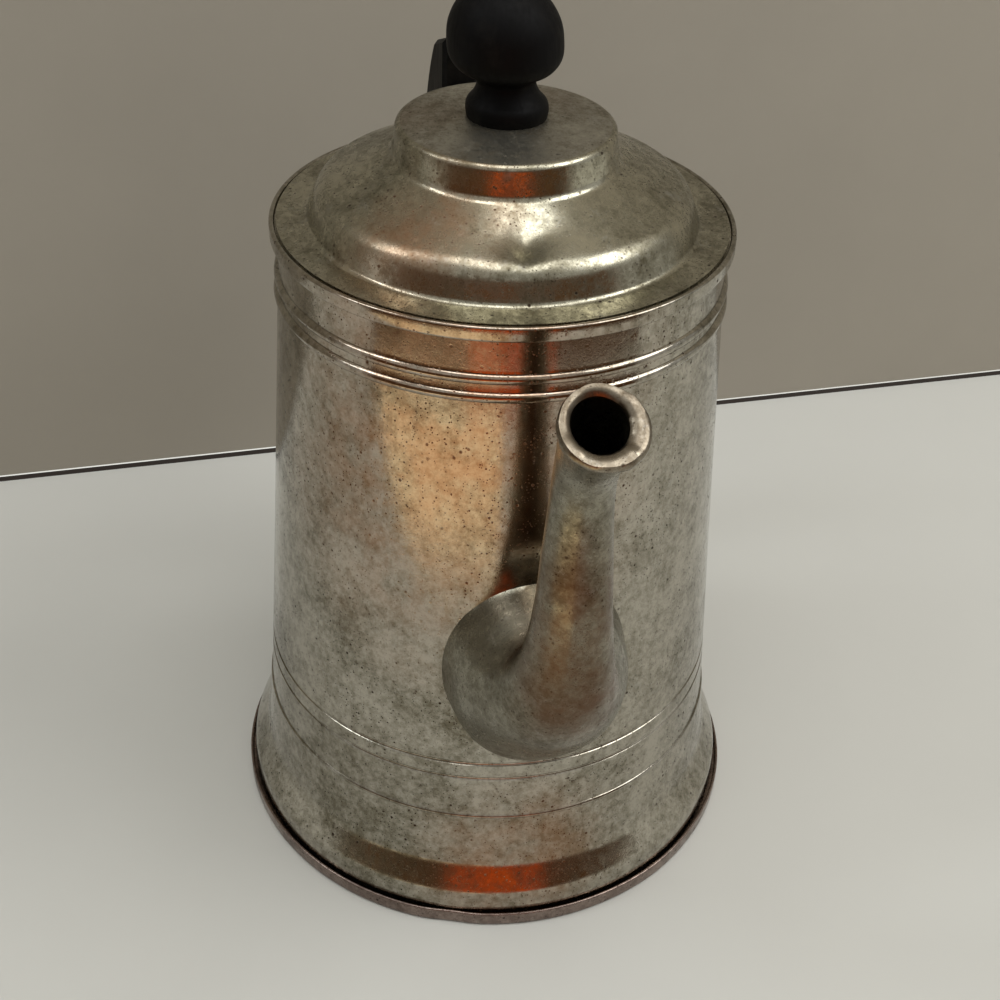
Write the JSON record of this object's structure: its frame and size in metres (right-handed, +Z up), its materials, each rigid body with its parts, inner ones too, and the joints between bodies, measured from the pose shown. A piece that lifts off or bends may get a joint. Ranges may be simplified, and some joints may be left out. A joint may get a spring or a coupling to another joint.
{
  "type": "percolator coffee pot",
  "caption": "Tall tapered metal coffee percolator with a flared foot, gooseneck spout, hinged domed lid, wooden knob and side handle, and a lifting inner pump and basket.",
  "frame": {"origin": "centre of the foot's underside, on the table", "axes": "+Z up; +X towards the spout; the handle and the lid hinge are on the -X side"},
  "size_m": [0.2274, 0.152, 0.2477],
  "materials": {
    "nickel_plate": "worn, pitted and tarnished nickel plate over copper",
    "foot_metal": "dark tarnished plate, worn at the edge",
    "inner_metal": "dull spun sheet with coffee stains",
    "rivet_metal": "dull and tarnished",
    "ebonised_wood": "black stain, worn and dry"
  },
  "bodies": {
    "pot": {"foot_band": "foot_metal", "base_plate": "inner_metal", "body_shell": "nickel_plate", "body_rim": "nickel_plate", "spout_tube": "nickel_plate", "spout_lip": "nickel_plate", "handle_grip": "ebonised_wood", "upper_bracket": "nickel_plate", "lower_bracket": "nickel_plate", "upper_bracket_rivets": "rivet_metal", "lower_bracket_rivets": "rivet_metal", "upper_handle_pin": "rivet_metal", "lower_handle_pin": "rivet_metal", "hinge_body_leaf": "nickel_plate", "hinge_pin": "rivet_metal"},
    "lid": {"hinge_lid_leaf": "nickel_plate", "lid_leaf_rivets": "rivet_metal", "lid_shell": "nickel_plate", "lid_skirt": "inner_metal", "lid_knob": "ebonised_wood", "knob_screw": "rivet_metal", "knob_washer": "rivet_metal"},
    "pump": {"pump_bell": "inner_metal", "pump_tube": "inner_metal", "basket_stop": "inner_metal"},
    "basket": {"basket_cup": "inner_metal", "basket_sleeve": "inner_metal"},
    "spreader": {"spreader_cover": "inner_metal"}
  },
  "joints": [
    {"name": "lid_hinge", "type": "hinge", "parent": "pot", "child": "lid", "pos_m": [-0.063, 0, 0.1902], "axis": [0, -1, 0], "range_deg": [0, 85]},
    {"name": "pump_lift", "type": "slide", "parent": "pot", "child": "pump", "axis": [0, 0, 1], "range_m": [0, 0.018]},
    {"name": "basket_slide", "type": "slide", "parent": "pump", "child": "basket", "axis": [0, 0, 1], "range_m": [0, 0.006]},
    {"name": "spreader_lift", "type": "slide", "parent": "basket", "child": "spreader", "axis": [0, 0, 1], "range_m": [0, 0.005]}
  ]
}
